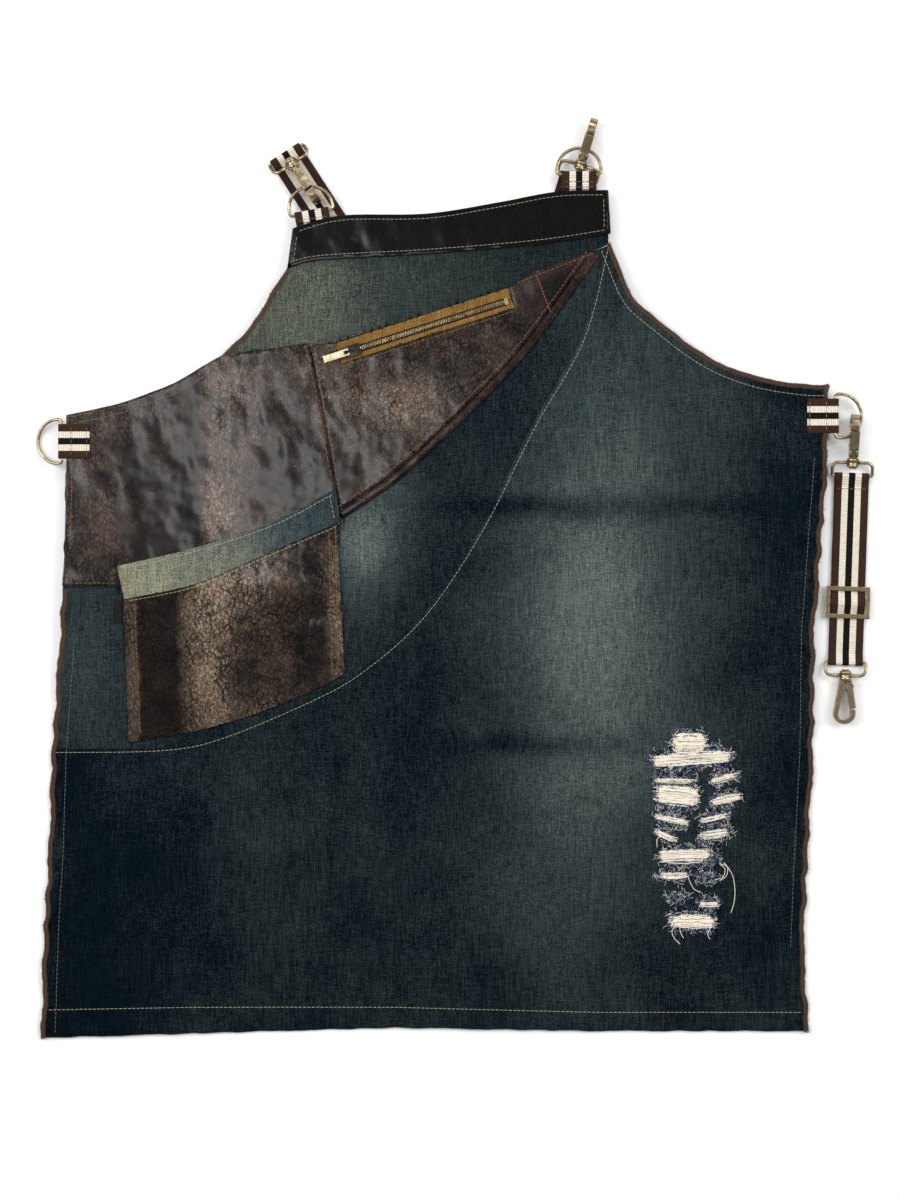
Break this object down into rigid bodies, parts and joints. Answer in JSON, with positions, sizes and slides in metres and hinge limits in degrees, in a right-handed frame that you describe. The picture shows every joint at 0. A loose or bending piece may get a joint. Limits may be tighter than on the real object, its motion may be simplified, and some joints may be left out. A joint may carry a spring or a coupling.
{
  "type": "work apron",
  "caption": "Denim work apron lying flat, with leather patches, zipped and open pockets, D-rings, and neck and waist webbing straps on swivel snap hooks.",
  "frame": {"origin": "middle of the bounding box on the surface the apron lies on", "axes": "+X towards the wearer's left side, +Y from the hem to the bib, +Z out of the front face"},
  "size_m": [0.7279, 0.799, 0.0234],
  "materials": {
    "denim": "washed indigo denim with faded grey-green areas",
    "pocket_denim": "faded grey-green denim",
    "leather": "glossy dark brown creased leather",
    "band_leather": "near-black brown glossy leather",
    "zip_tape": "tan cotton zip tape",
    "zip_metal": "dark antique metal",
    "pull_brass": "brushed pale brass",
    "label": "plain black woven tape",
    "webbing": "ribbed brown webbing with cream and black stripes",
    "hardware": "antique brass, satin"
  },
  "bodies": {
    "apron": {"skirt_panel": "denim", "crescent_panel": "denim", "bib_panel": "denim", "pocket_cuff": "pocket_denim", "leather_yoke": "leather", "zip_pocket_leather": "leather", "pocket_piping": "leather", "patch_pocket": "leather", "bib_band": "band_leather", "zip_tape_upper": "zip_tape", "zip_tape_lower": "zip_tape", "zip_teeth": "zip_metal", "zip_end_stop": "zip_metal", "blank_label": "label", "left_hip_tab": "webbing", "right_hip_tab": "webbing", "left_shoulder_tab": "webbing", "right_shoulder_tab": "webbing", "neck_strap": "webbing", "left_shoulder_d_ring": "hardware", "right_shoulder_d_ring": "hardware", "neck_adjuster": "hardware", "neck_left_oval_ring": "hardware", "neck_left_body": "hardware", "neck_left_gate_pin": "hardware", "neck_right_oval_ring": "hardware", "neck_right_body": "hardware", "neck_right_gate_pin": "hardware"},
    "left_ring": {"left_hip_d_ring": "hardware"},
    "right_ring": {"right_hip_d_ring": "hardware"},
    "waist_hook": {"waist_top_body": "hardware", "waist_top_gate_pin": "hardware"},
    "waist_gate": {"waist_top_gate": "hardware"},
    "waist_eye": {"waist_top_oval_ring": "hardware"},
    "waist_webbing": {"waist_strap": "webbing", "waist_adjuster": "hardware"},
    "end_eye": {"waist_end_oval_ring": "hardware"},
    "end_hook": {"waist_end_body": "hardware", "waist_end_gate_pin": "hardware"},
    "end_gate": {"waist_end_gate": "hardware"},
    "neck_left_lever": {"neck_left_gate": "hardware"},
    "neck_right_lever": {"neck_right_gate": "hardware"},
    "slider": {"zip_slider": "zip_metal"},
    "pull": {"zip_pull": "pull_brass"}
  },
  "joints": [
    {"name": "left_ring_hinge", "type": "hinge", "parent": "apron", "child": "left_ring", "pos_m": [-0.34118, 0.11796, 0.01045], "axis": [0, 1, 0], "range_deg": [0, 120]},
    {"name": "right_ring_hinge", "type": "hinge", "parent": "apron", "child": "right_ring", "pos_m": [0.32983, 0.14004, 0.0096], "axis": [0, -1, 0], "range_deg": [0, 45]},
    {"name": "waist_hook_swing", "type": "hinge", "parent": "right_ring", "child": "waist_hook", "pos_m": [0.34621, 0.12566, 0.00951], "axis": [0, 0, 1], "range_deg": [0, 40]},
    {"name": "waist_gate_hinge", "type": "hinge", "parent": "waist_hook", "child": "waist_gate", "pos_m": [0.3456, 0.10844, 0.01036], "axis": [-0.9994, 0.0349, 0], "range_deg": [0, 12], "stiffness_Nm_per_rad": 0.03},
    {"name": "waist_swivel", "type": "hinge", "parent": "waist_hook", "child": "waist_eye", "pos_m": [0.3453, 0.09968, 0.0059], "axis": [0.0346, 0.9897, 0.1392], "range_deg": [-30, 30]},
    {"name": "waist_strap_hinge", "type": "hinge", "parent": "waist_eye", "child": "waist_webbing", "pos_m": [0.34489, 0.08803, 0.00305], "axis": [-0.9994, 0.0349, 0], "range_deg": [0, 40]},
    {"name": "end_ring_hinge", "type": "hinge", "parent": "waist_webbing", "child": "end_eye", "pos_m": [0.33925, -0.07356, 0.00305], "axis": [-0.9994, 0.0349, 0], "range_deg": [0, 80]},
    {"name": "end_swivel", "type": "hinge", "parent": "end_eye", "child": "end_hook", "pos_m": [0.33884, -0.08521, 0.0059], "axis": [-0.0349, -0.9994, 0], "continuous": true},
    {"name": "end_gate_hinge", "type": "hinge", "parent": "end_hook", "child": "end_gate", "pos_m": [0.34171, -0.09462, 0.0059], "axis": [0, 0, -1], "range_deg": [0, 22], "stiffness_Nm_per_rad": 0.03},
    {"name": "neck_left_gate_hinge", "type": "hinge", "parent": "apron", "child": "neck_left_lever", "pos_m": [-0.13664, 0.35137, 0.01366], "axis": [0.8387, 0.5446, 0], "range_deg": [0, 10], "stiffness_Nm_per_rad": 0.03},
    {"name": "neck_right_gate_hinge", "type": "hinge", "parent": "apron", "child": "neck_right_lever", "pos_m": [0.11147, 0.36628, 0.01059], "axis": [-0.9563, 0.2924, 0], "range_deg": [0, 3], "stiffness_Nm_per_rad": 0.03},
    {"name": "zip_slide", "type": "slide", "parent": "apron", "child": "slider", "axis": [0.9521, 0.3057, 0], "range_m": [0, 0.128]},
    {"name": "zip_pull_hinge", "type": "hinge", "parent": "slider", "child": "pull", "pos_m": [-0.09259, 0.19528, 0.01565], "axis": [-0.3057, 0.9521, 0], "range_deg": [0, 110]}
  ]
}
